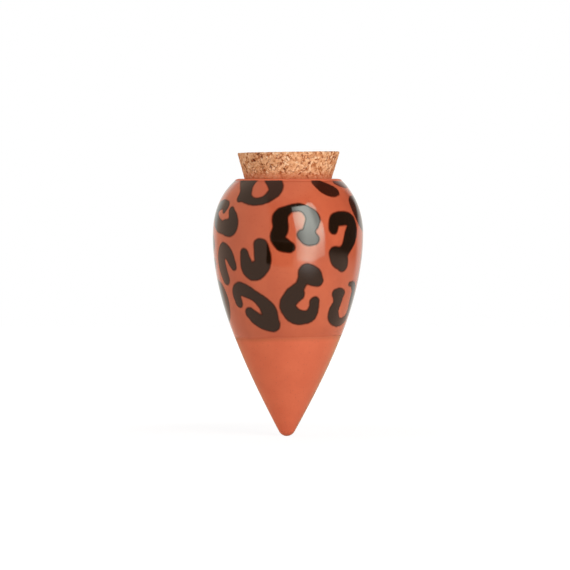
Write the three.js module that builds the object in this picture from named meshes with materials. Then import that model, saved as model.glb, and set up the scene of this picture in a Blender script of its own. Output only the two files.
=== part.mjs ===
// Irrigation olla: a pointed earthenware vessel that is pushed into a plant pot and filled with water.
// The bare clay cone sits in the soil and lets the water seep out. Everything above is dipped in glaze.
// A tapered cork stopper closes the mouth.
// Millimetres, +Z up. The origin is on the axis at the soil line, which is where the glaze ends.
import * as THREE from "three";

// Vessel: heights are above the tip, and radii are from the axis.
const BELLY_RADIUS = 42.3; // bare clay at its widest
const BELLY_HEIGHT = 114; // where it is widest
const RIM_HEIGHT = 146; // flat top of the lip
const WALL = 5; // clay between the outside and the cavity, square to the surface
const TIP_RADIUS = 5; // rounded point
const CONE_HALF_ANGLE = 28.5; // degrees from the axis, where the cone leaves the point
const CAVITY_TIP_RADIUS = 3; // rounded bottom of the cavity
const FLANK_TIP_PULL = 51.5; // how far the flank holds the cone's direction
const FLANK_BELLY_PULL = 32; // how far the flank holds upright below the belly
const SHOULDER_BELLY_PULL = 15.5; // how far the shoulder holds upright above the belly
const SHOULDER_LIP_PULL = 8; // how far the shoulder holds its slope below the lip
const SHOULDER_ANGLE = 47.5; // degrees from the axis, where the shoulder meets the lip

// Glaze: a dipped coat that stands proud of the clay and ends at the soil line.
const GLAZE_LINE_HEIGHT = 57;
const GLAZE_THICKNESS = 0.2;
const GLAZE_EDGE_HEIGHT = 0.4; // over which the coat runs out at its lower edge

// Mouth and lip: a low collar whose bore is a conical seat for the stopper.
const MOUTH_RADIUS = 25.1; // seat at the flat of the lip
const MOUTH_EDGE = 0.6; // rounding between the flat of the lip and the seat
const LIP_WIDTH = 5.1; // from the mouth out to the collar's side
const LIP_HEIGHT = 1.9; // collar above the shoulder
const LIP_EDGE = 1.4; // rounding between the collar's side and its flat
const LIP_STEP = 0.3; // groove between the shoulder and the collar

// Stopper: a plug of bonded cork that wedges in the seat.
const STOPPER_HEIGHT = 25;
const STOPPER_PROUD = 14.4; // above the lip
const STOPPER_TAPER = 16.3; // degrees from the axis, and the seat's taper too
const STOPPER_EDGE = 0.9; // rounding of both ends
const SEAT_CLEARANCE = 0.3; // between the stopper and its seat, square to them

// Facets.
const TURN_STEPS = 64;
const TIP_STEPS = 5;
const CONE_STEPS = 9;
const FLANK_STEPS = 12;
const SHOULDER_STEPS = 10;
const CAVITY_FLANK_STEPS = 16;
const CAVITY_SHOULDER_STEPS = 8;
const CAVITY_TIP_STEPS = 4;
const EDGE_STEPS = 3;
const HALVINGS = 40; // of a search along a curve, far finer than the model's numbers

const clay = new THREE.MeshStandardMaterial({ color: 0xd0663f, roughness: 0.5, metalness: 0 });
const cork = new THREE.MeshStandardMaterial({ color: 0xd09a68, roughness: 0.9, metalness: 0 });

const at = (radius, height) => new THREE.Vector2(radius, height);
const radians = THREE.MathUtils.degToRad;

// Direction up a profile that leans from the axis by an angle: positive leans outwards.
const leaning = (angle) => at(Math.sin(angle), Math.cos(angle));

// The side of a profile curve that faces away from the clay, for a curve that runs upwards.
const outwards = (tangent) => at(tangent.y, -tangent.x);

// Points on part of a curve, moved out from it by a distance, or into it if that is negative.
function along(curve, from, to, steps, distance) {
  return Array.from({ length: steps + 1 }, (_, step) => {
    const share = from + ((to - from) * step) / steps;
    const side = outwards(curve.getTangent(share));
    return curve.getPoint(share).addScaledVector(side, distance);
  });
}

// The share of a curve, counted from its start, up to which a test doesn't hold yet.
function shareBefore(holds) {
  let low = 0;
  let high = 1;
  for (let halving = 0; halving < HALVINGS; halving++) {
    const middle = (low + high) / 2;
    if (holds(middle)) high = middle;
    else low = middle;
  }
  return low;
}

// A corner between two straight stretches, rounded from one reach before it to one reach after it.
function roundedCorner(before, corner, after, reach) {
  const start = corner.clone().addScaledVector(before.clone().sub(corner).normalize(), reach);
  const end = corner.clone().addScaledVector(after.clone().sub(corner).normalize(), reach);
  return new THREE.QuadraticBezierCurve(start, corner, end).getPoints(EDGE_STEPS);
}

// A profile turned about the axis, which stands up along Z with the soil line at the origin.
function turned(name, profile, material) {
  const mesh = new THREE.Mesh(new THREE.LatheGeometry(profile, TURN_STEPS), material);
  mesh.name = name;
  mesh.rotation.x = Math.PI / 2;
  mesh.position.z = -GLAZE_LINE_HEIGHT;
  return mesh;
}

// The seat's radius at a height: a cone that narrows downwards from the mouth.
const taper = Math.tan(radians(STOPPER_TAPER));
const seatRadius = (height) => MOUTH_RADIUS - (RIM_HEIGHT - height) * taper;

// The clay's outer surface: a rounded point, a flank that swells into the belly, and a shoulder.
const coneAngle = radians(CONE_HALF_ANGLE);
const lipRadius = MOUTH_RADIUS + LIP_WIDTH;
const lipFootHeight = RIM_HEIGHT - LIP_HEIGHT;
const belly = at(BELLY_RADIUS, BELLY_HEIGHT);
const coneStart = at(TIP_RADIUS * Math.cos(coneAngle), TIP_RADIUS * (1 - Math.sin(coneAngle)));
const shoulderTop = at(lipRadius + LIP_STEP - GLAZE_THICKNESS, lipFootHeight);
const upright = leaning(0);
const shoulderSlope = leaning(-radians(SHOULDER_ANGLE));

const point = new THREE.EllipseCurve(
  0, TIP_RADIUS, TIP_RADIUS, TIP_RADIUS, -Math.PI / 2, -coneAngle,
);
const flank = new THREE.CubicBezierCurve(
  coneStart,
  coneStart.clone().addScaledVector(leaning(coneAngle), FLANK_TIP_PULL),
  belly.clone().addScaledVector(upright, -FLANK_BELLY_PULL),
  belly,
);
const shoulder = new THREE.CubicBezierCurve(
  belly,
  belly.clone().addScaledVector(upright, SHOULDER_BELLY_PULL),
  shoulderTop.clone().addScaledVector(shoulderSlope, -SHOULDER_LIP_PULL),
  shoulderTop,
);

function vesselOutside() {
  const shareBelow = (height) => shareBefore((share) => flank.getPoint(share).y > height);
  const glazeLine = shareBelow(GLAZE_LINE_HEIGHT);
  const glazeEdge = shareBelow(GLAZE_LINE_HEIGHT + GLAZE_EDGE_HEIGHT);
  return [
    ...along(point, 0, 1, TIP_STEPS, 0).slice(0, -1),
    ...along(flank, 0, glazeLine, CONE_STEPS, 0),
    ...along(flank, glazeEdge, 1, FLANK_STEPS, GLAZE_THICKNESS).slice(0, -1),
    ...along(shoulder, 0, 1, SHOULDER_STEPS, GLAZE_THICKNESS),
  ];
}

// The collar and the seat, from the foot of the collar over its flat to the throat.
function vesselMouth(throat) {
  const foot = at(lipRadius, lipFootHeight + LIP_STEP);
  const brow = at(lipRadius, RIM_HEIGHT);
  const mouth = at(MOUTH_RADIUS, RIM_HEIGHT);
  return [
    foot,
    ...roundedCorner(foot, brow, mouth, LIP_EDGE),
    ...roundedCorner(brow, mouth, throat, MOUTH_EDGE),
    throat,
  ];
}

// Where the shoulder's inner surface, carried on in a straight line, runs into the seat.
function throatOf(innerShoulderTop) {
  const run =
    (seatRadius(innerShoulderTop.y) - innerShoulderTop.x) / (shoulderSlope.x - taper * shoulderSlope.y);
  return innerShoulderTop.clone().addScaledVector(shoulderSlope, run);
}

// The cavity's lower end: the inner flank down to where a ball of the tip's radius fits it, then that ball.
function cavityBottom() {
  const innerFlank = (share) => along(flank, share, share, 1, -WALL)[0];
  const fittingBall = (share) => innerFlank(share).x / outwards(flank.getTangent(share)).x;
  const tipShare = shareBefore((share) => fittingBall(share) > CAVITY_TIP_RADIUS);
  const radius = fittingBall(tipShare);
  const lean = flank.getTangent(tipShare);
  const height = innerFlank(tipShare).y + radius * lean.x;
  const ball = new THREE.EllipseCurve(
    0, height, radius, radius, -Math.atan2(lean.x, lean.y), -Math.PI / 2, true,
  );
  return [
    ...along(flank, 1, tipShare, CAVITY_FLANK_STEPS, -WALL),
    ...ball.getPoints(CAVITY_TIP_STEPS).slice(1),
  ];
}

function clayVessel() {
  const innerShoulder = along(shoulder, 1, 0, CAVITY_SHOULDER_STEPS, -WALL);
  const throat = throatOf(innerShoulder[0]);
  const profile = [
    ...vesselOutside(),
    ...vesselMouth(throat),
    ...innerShoulder.slice(0, -1),
    ...cavityBottom(),
  ];
  return turned("clay_vessel", profile, clay);
}

function corkStopper() {
  const topHeight = RIM_HEIGHT + STOPPER_PROUD;
  const bottomHeight = topHeight - STOPPER_HEIGHT;
  const radiusAt = (height) => seatRadius(height) - SEAT_CLEARANCE / Math.cos(radians(STOPPER_TAPER));
  const bottomCentre = at(0, bottomHeight);
  const bottomEdge = at(radiusAt(bottomHeight), bottomHeight);
  const topEdge = at(radiusAt(topHeight), topHeight);
  const topCentre = at(0, topHeight);
  const profile = [
    bottomCentre,
    ...roundedCorner(bottomCentre, bottomEdge, topEdge, STOPPER_EDGE),
    ...roundedCorner(bottomEdge, topEdge, topCentre, STOPPER_EDGE),
    topCentre,
  ];
  return turned("cork_stopper", profile, cork);
}

const olla = new THREE.Group();
olla.add(clayVessel(), corkStopper());

export default olla;
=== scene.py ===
"""Dresses the irrigation olla: a pointed clay vessel with a spotted glaze, and its cork stopper.

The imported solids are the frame. Both pieces are modelled again at the solids' size and place, with
the surface that the solids leave out: the glaze and its wavy edge, the brushed spots, the turned bare
clay, and the cork's granules. Lengths of the vessel and the stopper, and the distances that they store
for their finishes, are in millimetres, as a potter gives them. All else is in metres.
"""

import logging
import math
from collections.abc import Callable
from dataclasses import dataclass, field
from enum import Enum
from functools import partial, reduce

import bpy
import numpy as np
from mathutils import Matrix, Vector
from mathutils.kdtree import KDTree


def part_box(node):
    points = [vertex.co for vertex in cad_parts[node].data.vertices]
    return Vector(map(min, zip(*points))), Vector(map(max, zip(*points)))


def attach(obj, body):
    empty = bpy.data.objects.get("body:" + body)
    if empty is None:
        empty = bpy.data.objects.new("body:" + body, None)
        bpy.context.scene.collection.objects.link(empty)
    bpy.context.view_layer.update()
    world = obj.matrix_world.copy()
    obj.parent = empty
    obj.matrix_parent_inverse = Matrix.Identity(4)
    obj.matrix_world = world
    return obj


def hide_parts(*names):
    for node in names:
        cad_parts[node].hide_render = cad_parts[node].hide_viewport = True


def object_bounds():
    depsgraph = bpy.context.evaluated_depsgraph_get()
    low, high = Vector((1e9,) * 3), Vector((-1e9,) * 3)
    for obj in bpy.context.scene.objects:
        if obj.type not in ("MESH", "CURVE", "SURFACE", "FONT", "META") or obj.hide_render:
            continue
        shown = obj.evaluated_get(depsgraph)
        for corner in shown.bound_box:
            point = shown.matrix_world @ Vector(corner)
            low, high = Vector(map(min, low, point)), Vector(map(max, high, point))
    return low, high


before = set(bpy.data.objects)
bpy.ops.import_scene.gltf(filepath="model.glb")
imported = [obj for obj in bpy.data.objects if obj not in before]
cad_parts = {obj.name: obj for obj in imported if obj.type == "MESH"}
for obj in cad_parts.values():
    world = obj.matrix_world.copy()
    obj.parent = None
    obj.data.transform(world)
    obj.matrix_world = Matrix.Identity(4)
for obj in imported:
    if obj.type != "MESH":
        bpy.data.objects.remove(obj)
cad_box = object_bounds()

LOG = logging.getLogger("olla")
MM = 0.001

Colour = tuple[float, float, float, float]
Pair = tuple[float, float]
Triple = tuple[float, float, float]
Stop = tuple[float, Colour]
Piece = bpy.types.Object
Finish = bpy.types.Material
Tree = bpy.types.NodeTree
Socket = bpy.types.NodeSocket
Items = bpy.types.bpy_prop_collection
Input = Socket | float | Colour | Triple

# A fade is the start and the end of a range and, where that isn't 0 and 1, what they become.
Fade = tuple[float, ...]

WHITE: Colour = (1.0, 1.0, 1.0, 1.0)


class Coat(Enum):
    """What covers the clay, as the vessel's material slots."""

    BARE = 0
    GLAZED = 1


class Work(Enum):
    """What a lamp does: light the object, or show in its gloss."""

    LIGHT = "light"
    GLINT = "glint"


class Blend(Enum):
    """Ways to lay one colour over another."""

    COVER = "MIX"
    DARKEN = "MULTIPLY"


def seen(*channels: int) -> Colour:
    """Turns red, green and blue as a screen shows them, 0 to 255, into an opaque linear colour."""
    parts = [channel / 255 for channel in channels]
    return (*(part / 12.92 if part <= 0.04045 else ((part + 0.055) / 1.055) ** 2.4 for part in parts), 1.0)


def eased(values: np.ndarray) -> np.ndarray:
    """Eases values from 0 to 1 in and out, and holds them there outside that range."""
    held = np.clip(values, 0.0, 1.0)
    return held * held * (3.0 - 2.0 * held)


# Mesh helpers.


def named(name: str) -> Piece:
    """Names the object that was just added, and its mesh, and gives it."""
    bpy.context.object.name = bpy.context.object.data.name = name
    return bpy.context.object


def read_rows(items: Items, name: str) -> np.ndarray:
    """Reads a vector of each of a mesh's points or faces.

    Args:
        items: The points or the faces.
        name: The vector's name.

    Returns:
        One row per point or face.
    """
    rows = np.empty(len(items) * 3, np.float32)
    items.foreach_get(name, rows)
    return rows.reshape(-1, 3).astype(float)


def read_points(piece: Piece) -> np.ndarray:
    """Reads a mesh's points in millimetres, one row of x, y and z each."""
    return read_rows(piece.data.vertices, "co") / MM


def write_points(piece: Piece, points: np.ndarray) -> None:
    """Writes points in millimetres back to a mesh."""
    piece.data.vertices.foreach_set("co", (points * MM).astype(np.float32).ravel())
    piece.data.update()


def write_attribute(piece: Piece, name: str, values: np.ndarray) -> None:
    """Stores one number per point under a name that a material can read."""
    layer = piece.data.attributes.new(name, "FLOAT", "POINT")
    layer.data.foreach_set("value", values.astype(np.float32))


def round_axis(points: np.ndarray) -> tuple[np.ndarray, np.ndarray]:
    """Gives the radii of points, and their angles round the axis in radians, 0 towards the view."""
    x, y = points[:, 0], points[:, 1]
    return np.hypot(x, y), np.arctan2(x, -y)


# Material helpers.


class Wiring:
    """Adds nodes to one node tree and links them as it goes."""

    def __init__(self, tree: Tree) -> None:
        """Keeps the tree that the nodes go into."""
        self.tree = tree

    def feed(self, node: bpy.types.Node, inputs: dict[str | int, Input]) -> None:
        """Gives inputs of a node their values or links.

        Args:
            node: The node.
            inputs: A value or an output socket for each input, by the input's name or number.
        """
        for name, value in inputs.items():
            if isinstance(value, Socket):
                self.tree.links.new(value, node.inputs[name])
            else:
                node.inputs[name].default_value = value

    def add(self, kind: str, inputs: dict | None = None, **settings: object) -> bpy.types.Node:
        """Adds one node.

        Args:
            kind: The node's type, without the words that every shader node's type starts with.
            inputs: A value or an output socket for each input, by the input's name or number.
            settings: Values for the node's own properties.

        Returns:
            The new node.
        """
        node = self.tree.nodes.new(f"ShaderNode{kind}")
        for name, value in settings.items():
            setattr(node, name, value)
        self.feed(node, inputs or {})
        return node

    def out(self, kind: str, output: str | int, inputs: dict | None = None, **settings: object) -> Socket:
        """Adds one node and gives one of its outputs, by its name or number."""
        return self.add(kind, inputs, **settings).outputs[output]

    def place(self) -> Socket:
        """Gives the place on the piece, in metres in the shared frame."""
        return self.out("TexCoord", "Object")

    def attribute(self, name: str) -> Socket:
        """Gives a number that the piece holds per point."""
        return self.out("Attribute", "Fac", attribute_name=name)

    def parts(self, vector: Input) -> Items:
        """Splits a vector into its X, Y and Z."""
        return self.add("SeparateXYZ", {"Vector": vector}).outputs

    def math(self, operation: str, *numbers: Input) -> Socket:
        """Gives one operation on one or two numbers."""
        return self.out("Math", 0, dict(enumerate(numbers)), operation=operation)

    def plus(self, first: Input, second: Input) -> Socket:
        """Adds two numbers."""
        return self.math("ADD", first, second)

    def minus(self, first: Input, second: Input) -> Socket:
        """Takes the second number from the first."""
        return self.math("SUBTRACT", first, second)

    def times(self, *factors: Input) -> Socket:
        """Multiplies numbers."""
        return reduce(partial(self.math, "MULTIPLY"), factors)

    def apart(self, first: Input, second: Input) -> Socket:
        """Gives how far apart two numbers are."""
        return self.math("ABSOLUTE", self.minus(first, second))

    def fade(self, value: Input, start: float, end: float, low: float = 0.0, high: float = 1.0) -> Socket:
        """Eases a number from the range of start to end into low to high, and holds it there."""
        inputs = {"Value": value, "From Min": start, "From Max": end, "To Min": low, "To Max": high}
        return self.out("MapRange", "Result", inputs, interpolation_type="SMOOTHSTEP")

    def mix(self, share: Input, under: Input, over: Input, blend: Blend = Blend.COVER) -> Socket:
        """Lays one colour over another, where the share of the upper one is 0 to 1."""
        # The node's colours share their names with its other inputs, so they go by their numbers.
        inputs = {0: share, 6: under, 7: over}
        return self.out("Mix", 2, inputs, data_type="RGBA", blend_type=blend.value)

    def noise(self, place: Input, scale: Input, detail: float = 2.0, rough: float = 0.5) -> Socket:
        """Gives a cloudy number about 0.5, with features of about 1 / scale metres."""
        inputs = {"Vector": place, "Scale": scale, "Detail": detail, "Roughness": rough}
        return self.out("TexNoise", "Fac", inputs)

    def chips(self, place: Input, scale: Input) -> tuple[Socket, Socket]:
        """Gives chips of about 1 / scale metres: how far their middles are, and a number for each."""
        cells = self.add("TexVoronoi", {"Vector": place, "Scale": scale}).outputs
        return cells["Distance"], self.out("SeparateColor", "Red", {"Color": cells["Color"]})

    def ramp(self, share: Input, stops: tuple[Stop, ...]) -> Socket:
        """Turns a number into a colour.

        Args:
            share: The number, 0 to 1.
            stops: Places from 0 to 1 and their colours, in order.

        Returns:
            The colour.
        """
        node = self.add("ValToRGB", {"Fac": share})
        while len(node.color_ramp.elements) < len(stops):
            node.color_ramp.elements.new(1.0)
        for element, (position, colour) in zip(node.color_ramp.elements, stops):
            element.position = position
            element.color = colour
        return node.outputs["Color"]

    def bump(self, height: Input, depth: float, **under: Socket) -> Socket:
        """Gives the normal of a relief, which lies on a coarser one where that is given as Normal."""
        return self.out("Bump", "Normal", {"Height": height, "Distance": depth, **under})

    def group(self, tree: Tree, *inputs: Input) -> Socket:
        """Uses a node group: its inputs go in, in their order, and its number comes out."""
        return self.out("Group", "Amount", dict(enumerate(inputs)), node_tree=tree)


def number_group(name: str, wire: Callable, *numbers: str) -> Tree:
    """Makes a node group with a place and perhaps numbers going in and one number coming out.

    Args:
        name: The group's name.
        wire: A function that adds the nodes and gives the number that comes out.
        numbers: The names of the numbers that go in.

    Returns:
        The group.
    """
    tree = bpy.data.node_groups.new(name, "ShaderNodeTree")
    tree.interface.new_socket("Place", in_out="INPUT", socket_type="NodeSocketVector")
    for number in numbers:
        tree.interface.new_socket(number, in_out="INPUT", socket_type="NodeSocketFloat")
    tree.interface.new_socket("Amount", in_out="OUTPUT", socket_type="NodeSocketFloat")
    wiring = Wiring(tree)
    entry, end = tree.nodes.new("NodeGroupInput"), tree.nodes.new("NodeGroupOutput")
    wiring.feed(end, {"Amount": wire(wiring, entry.outputs)})
    return tree


def new_material(name: str) -> tuple[Finish, Wiring, bpy.types.Node]:
    """Starts a material.

    Args:
        name: The material's name.

    Returns:
        The material, its wiring and its surface shader.
    """
    material = bpy.data.materials.new(name)
    material.use_nodes = True
    tree = material.node_tree
    return material, Wiring(tree), tree.nodes["Principled BSDF"]


@dataclass
class KilnEffects:
    """Effects that bare and glazed clay share, each a node group that is built once."""

    cloud_fade: Fade = (0.3, 0.7)
    speck_fade: Fade = (0.32, 0.12)
    speck_pick: Fade = (0.55, 0.85)
    wander_scale: float = 25.0
    wander: float = 0.0015

    def __post_init__(self) -> None:
        """Builds the groups."""
        self.mottle = number_group("kiln_mottle", self._wire_mottle, "Scale")
        self.grog = number_group("grog_specks", self._wire_grog, "Scale")
        self.turning = number_group("turning_lines", self._wire_turning, "Pitch")

    def _wire_mottle(self, wiring: Wiring, entry: Items) -> Socket:
        """Gives slow, cloudy changes of tone, from 0 to 1."""
        cloud = wiring.noise(entry["Place"], entry["Scale"], detail=4.0, rough=0.55)
        return wiring.fade(cloud, *self.cloud_fade)

    def _wire_grog(self, wiring: Wiring, entry: Items) -> Socket:
        """Gives small specks of grog: 1 on a speck and 0 between them."""
        distance, number = wiring.chips(entry["Place"], entry["Scale"])
        return wiring.times(wiring.fade(distance, *self.speck_fade), wiring.fade(number, *self.speck_pick))

    def _wire_turning(self, wiring: Wiring, entry: Items) -> Socket:
        """Gives faint lines round the axis, as a turning tool leaves them.

        Args:
            wiring: The group's wiring.
            entry: What goes into the group.

        Returns:
            The lines' height, about 0.5.
        """
        wander = wiring.noise(entry["Place"], self.wander_scale, detail=1.0)
        height = wiring.plus(wiring.parts(entry["Place"])["Z"], wiring.times(wander, self.wander))
        inputs = {"W": wiring.math("DIVIDE", height, entry["Pitch"]), "Scale": 1.0, "Detail": 2.0}
        return wiring.out("TexNoise", "Fac", inputs, noise_dimensions="1D")


@dataclass(frozen=True)
class BareClay:
    """Fired earthenware with no glaze: matt, faintly turned, with specks of grog."""

    effects: KilnEffects
    pale: Colour = seen(218, 108, 70)
    deep: Colour = seen(206, 96, 60)
    mottle_scale: float = 45.0
    mottle_share: float = 0.65
    grain_scale: float = 900.0
    grain_depth: float = 0.00005
    speck: Colour = seen(160, 74, 52)
    speck_scale: float = 650.0
    speck_share: float = 0.28
    soak: Colour = (0.80, 0.86, 0.80, 1.0)
    soak_fade: Fade = (3.4, 0.0)
    turning_pitch: float = 0.0011
    turning_depth: float = 0.00006
    roughness: float = 0.82
    dust: Colour = (0.60, 1.0, 0.65, 1.0)
    dust_weight: float = 0.5
    dust_roughness: float = 0.35

    def material(self) -> Finish:
        """Makes the material.

        Returns:
            The material.
        """
        material, wiring, surface = new_material("bare_clay")
        place = wiring.place()
        mottle = wiring.group(self.effects.mottle, place, self.mottle_scale)
        grain = wiring.noise(place, self.grain_scale, detail=3.0, rough=0.6)
        shares = (wiring.times(mottle, self.mottle_share), wiring.times(grain, 1 - self.mottle_share))
        specks = wiring.group(self.effects.grog, place, self.speck_scale)
        clay = wiring.mix(wiring.plus(*shares), self.deep, self.pale)
        clay = wiring.mix(wiring.times(specks, self.speck_share), clay, self.speck)
        soaked = wiring.fade(wiring.attribute("line_drop"), *self.soak_fade)
        turning = wiring.group(self.effects.turning, place, self.turning_pitch)
        relief = wiring.bump(turning, self.turning_depth)
        wiring.feed(surface, {
            "Base Color": wiring.mix(soaked, clay, self.soak, Blend.DARKEN),
            "Normal": wiring.bump(wiring.plus(grain, specks), self.grain_depth, Normal=relief),
            "Roughness": self.roughness,
            "Sheen Weight": self.dust_weight,
            "Sheen Roughness": self.dust_roughness,
            "Sheen Tint": self.dust,
        })
        return material


@dataclass(frozen=True)
class SpottedGlaze:
    """Clear glaze over earthenware, with dark spots brushed on under it, wiped matt on the lip."""

    effects: KilnEffects
    pale: Colour = seen(198, 97, 65)
    deep: Colour = seen(186, 86, 57)
    mottle_scale: float = 38.0
    speck: Colour = seen(150, 60, 40)
    speck_scale: float = 700.0
    speck_share: float = 0.22
    # Painted shade: a darker band in the crease just below the lip, where the lip shades the glaze.
    crease_shade: Colour = (0.86, 0.76, 0.72, 1.0)
    crease_shade_drop: float = 0.8
    crease_shade_fade: Fade = (0.8, 0.2)
    paint: Colour = seen(29, 16, 7)
    thin_paint: Colour = seen(88, 30, 14)
    brushed_fade: Fade = (0.85, -0.30)
    covered_fade: Fade = (0.15, -0.75)
    wobble: float = 0.7
    wobble_scale: float = 300.0
    gloss: float = 0.5
    clay_gloss: Colour = (0.50, 1.0, 0.97, 1.0)
    rim_gloss: float = 0.28
    rim_edge: float = -0.30
    rim_fade: Fade = (0.1, 0.55)
    roughness: float = 0.075
    ior: float = 1.5
    ripple_scale: float = 70.0
    ripple_depth: float = 0.00012
    wiped: Colour = seen(211, 109, 76)
    wiped_heights: Fade = (0.0874, 0.0877)
    wiped_roughness: float = 0.5
    wiped_gloss: float = 0.08

    def material(self) -> Finish:
        """Makes the material.

        Returns:
            The material.
        """
        material, wiring, surface = new_material("spotted_glaze")
        place = wiring.place()
        height = wiring.parts(place)["Z"]
        clay = wiring.mix(wiring.fade(height, *self.wiped_heights), self._clay(wiring), self.wiped)
        edge = self._edge(wiring)
        brushed = wiring.mix(wiring.fade(edge, *self.brushed_fade), clay, self.thin_paint)
        paint = wiring.mix(wiring.attribute("paint_thin"), self.paint, self.thin_paint)
        covered = wiring.fade(edge, *self.covered_fade)
        from_rim = wiring.apart(edge, self.rim_edge)
        rim_gloss = wiring.fade(from_rim, *self.rim_fade, self.rim_gloss, self.gloss)
        wiped_gloss = wiring.fade(height, *self.wiped_heights, self.gloss, self.wiped_gloss)
        ripple = wiring.noise(place, self.ripple_scale, rough=0.4)
        wiring.feed(surface, {
            "Base Color": wiring.mix(covered, brushed, paint),
            "Normal": wiring.bump(ripple, self.ripple_depth),
            "Roughness": wiring.fade(height, *self.wiped_heights, self.roughness, self.wiped_roughness),
            "IOR": self.ior,
            "Specular IOR Level": wiring.math("MINIMUM", rim_gloss, wiped_gloss),
            "Specular Tint": wiring.mix(covered, self.clay_gloss, WHITE),
        })
        return material

    def _clay(self, wiring: Wiring) -> Socket:
        """Gives the clay's colour under the glaze, with painted shade in the crease below the lip.

        Args:
            wiring: The material's wiring.

        Returns:
            The colour.
        """
        place = wiring.place()
        mottle = wiring.group(self.effects.mottle, place, self.mottle_scale)
        clay = wiring.mix(mottle, self.deep, self.pale)
        specks = wiring.group(self.effects.grog, place, self.speck_scale)
        clay = wiring.mix(wiring.times(specks, self.speck_share), clay, self.speck)
        # Painted shade under the lip: the clay darkens in a band about crease_shade_drop below the lip's
        # foot.
        from_crease_shade = wiring.apart(wiring.attribute("lip_drop"), self.crease_shade_drop)
        return wiring.mix(wiring.fade(from_crease_shade, *self.crease_shade_fade), clay, self.crease_shade, Blend.DARKEN)

    def _edge(self, wiring: Wiring) -> Socket:
        """Gives the distance to the spots' edge, below 0 inside, with a brush's small wobble."""
        wobble = wiring.minus(wiring.noise(wiring.place(), self.wobble_scale), 0.5)
        return wiring.plus(wiring.attribute("spot_edge"), wiring.times(wobble, self.wobble))


@dataclass(frozen=True)
class BondedCork:
    """Granules of cork pressed together: tan chips of many tones, dark seams and deep pits."""

    tones: tuple[Stop, ...] = (
        (0.00, seen(155, 82, 42)),
        (0.22, seen(196, 130, 84)),
        (0.55, seen(222, 164, 118)),
        (0.82, seen(231, 181, 138)),
        (1.00, seen(240, 203, 164)),
    )
    grain_scale: float = 1500.0
    grain_tone: Fade = (0.2, 0.8, -0.14, 0.14)
    grain_depth: float = 0.00012
    flake_scale: float = 1050.0
    flake_tone: Fade = (0.0, 1.0, -0.17, 0.17)
    seam: Colour = seen(138, 62, 22)
    seam_fade: Fade = (0.34, 0.02)
    patch_scale: float = 420.0
    patch_fade: Fade = (0.42, 0.62)
    # Painted shade in the pits, darker than any granule's tone.
    pit_shade: Colour = seen(108, 40, 10)
    # Painted contact shade and warm bounce light from the clay: the cork turns darker and more orange
    # towards the lip.
    seat_shade_and_bounce: Colour = seen(191, 103, 65)
    seat_shade_and_bounce_fade: Fade = (0.0938, 0.0888, 0.0, 0.7)
    roughness: float = 0.9
    gloss: float = 0.2

    def material(self) -> Finish:
        """Makes the material.

        Returns:
            The material.
        """
        material, wiring, surface = new_material("bonded_cork")
        place = wiring.place()
        grain = wiring.noise(place, self.grain_scale, detail=3.0, rough=0.65)
        flake = wiring.chips(place, self.flake_scale)[1]
        tone = wiring.plus(wiring.attribute("granule_tone"), wiring.fade(grain, *self.grain_tone))
        tone = wiring.plus(tone, wiring.fade(flake, *self.flake_tone))
        seam = wiring.fade(wiring.attribute("seam_gap"), *self.seam_fade)
        patchy = wiring.fade(wiring.noise(place, self.patch_scale), *self.patch_fade)
        colour = wiring.mix(wiring.times(seam, patchy), wiring.ramp(tone, self.tones), self.seam)
        # Painted shade: the pits are darkened in colour on top of their modelled depth.
        colour = wiring.mix(wiring.attribute("pit_depth"), colour, self.pit_shade)
        # Painted shade and bounce light, strongest just above the lip where the cork sits in the mouth.
        seat_shaded = wiring.fade(wiring.parts(place)["Z"], *self.seat_shade_and_bounce_fade)
        wiring.feed(surface, {
            "Base Color": wiring.mix(seat_shaded, colour, self.seat_shade_and_bounce),
            "Normal": wiring.bump(grain, self.grain_depth),
            "Roughness": self.roughness,
            "Specular IOR Level": self.gloss,
        })
        return material


# The painted spots.

FAR = 9.0
TINY = 1e-9
SPOT_REACH: Pair = (45.0, 34.0)


@dataclass(frozen=True)
class Stroke:
    """A brush stroke: knots of an angle in degrees, a length up the side, and half the width there."""

    knots: tuple[Triple, ...]

    def line(self, steps: int = 6) -> np.ndarray:
        """Runs a smooth line through the knots.

        Args:
            steps: Steps between two knots.

        Returns:
            One row of angle, length and half width per point of the line.
        """
        knots = np.array(self.knots, float)
        ends = np.vstack([2 * knots[0] - knots[1], knots, 2 * knots[-1] - knots[-2]])
        rows = [knots[0]]
        for before, start, end, after in zip(ends, ends[1:], ends[2:], ends[3:]):
            bend = 2 * before - 5 * start + 4 * end - after
            twist = 3 * start - before - 3 * end + after
            for step in range(1, steps + 1):
                share = step / steps
                rows.append(start + 0.5 * ((end - before) * share + bend * share**2 + twist * share**3))
        return np.array(rows)


def pooled(first: np.ndarray, second: np.ndarray, pool: float) -> np.ndarray:
    """Joins two shapes by the distances to their edges, with paint pooled where they meet."""
    share = np.clip(0.5 + 0.5 * (first - second) / pool, 0, 1)
    return first * (1 - share) + second * share - pool * share * (1 - share)


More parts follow.
